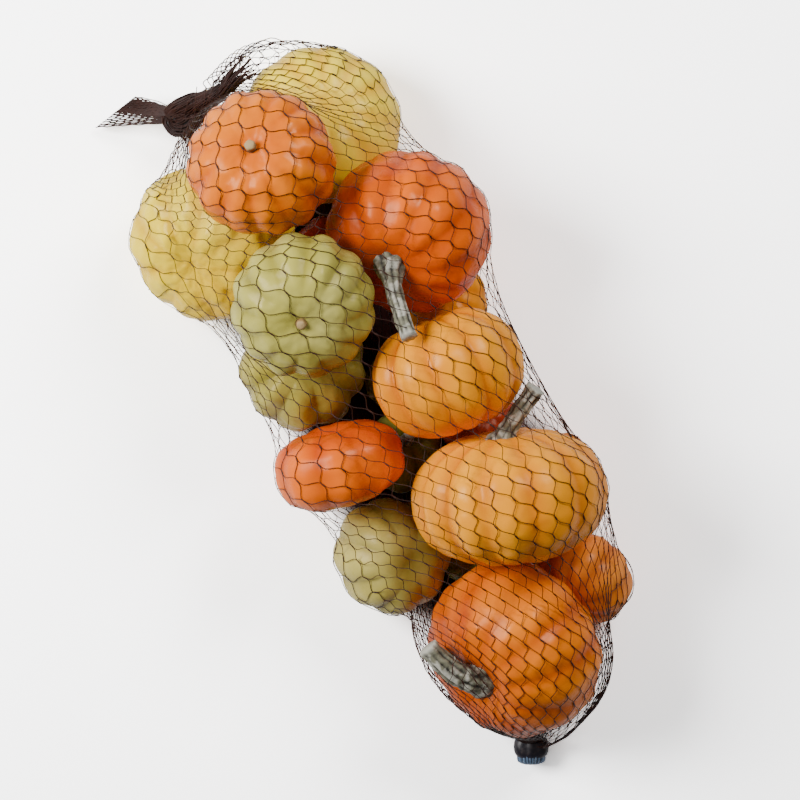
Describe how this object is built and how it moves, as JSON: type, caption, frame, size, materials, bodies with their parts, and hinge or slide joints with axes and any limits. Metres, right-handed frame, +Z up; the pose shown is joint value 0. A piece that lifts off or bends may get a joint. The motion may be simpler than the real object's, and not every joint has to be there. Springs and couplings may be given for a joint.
{
  "type": "net of decorative gourds",
  "caption": "Long tubular net packed with small ribbed ornamental gourds and mini pumpkins, gathered in a knot with a short tail at one end and closed by a crimped clip at the other.",
  "frame": {"origin": "middle of the footprint, on the surface that the net lies on", "axes": "+Y along the bag towards the knot and its tail, +Z up out of the shown side, +X to the right with the knot end away"},
  "size_m": [0.173, 0.4136, 0.1241],
  "materials": {
    "lemon_skin": "smooth waxy skin, satin",
    "yellow_skin": "lumpy waxy skin, satin",
    "orange_skin": "ribbed waxy skin, semi-gloss",
    "red_orange_skin": "ribbed waxy skin, semi-gloss",
    "olive_skin": "ribbed waxy skin, satin",
    "amber_skin": "ribbed waxy skin, semi-gloss",
    "burnt_orange_skin": "ribbed waxy skin, satin",
    "deep_red_skin": "ribbed waxy skin, satin",
    "dry_stem": "corky dried stalk, furrowed and matte",
    "clip_band": "ribbed, glossy",
    "net_strands": "thin extruded strands, satin"
  },
  "bodies": {
    "root": {"gourd_yellow_top": "lemon_skin", "gourd_yellow_side": "yellow_skin", "gourd_orange_top": "orange_skin", "gourd_red_orange": "red_orange_skin", "gourd_olive_top": "olive_skin", "gourd_olive_side": "olive_skin", "gourd_amber_middle": "amber_skin", "gourd_amber_large": "amber_skin", "gourd_orange_small": "orange_skin", "gourd_olive_end": "olive_skin", "gourd_orange_end": "orange_skin", "gourd_burnt_orange": "burnt_orange_skin", "gourd_deep_red": "deep_red_skin", "gourd_olive_inner": "olive_skin", "gourd_low_amber": "amber_skin", "gourd_low_yellow": "yellow_skin", "gourd_low_maroon": "deep_red_skin", "gourd_low_green": "olive_skin", "gourd_low_orange": "orange_skin", "gourd_low_olive": "olive_skin", "gourd_low_burnt": "burnt_orange_skin", "end_clip": "clip_band", "net": "net_strands"}
  },
  "joints": []
}
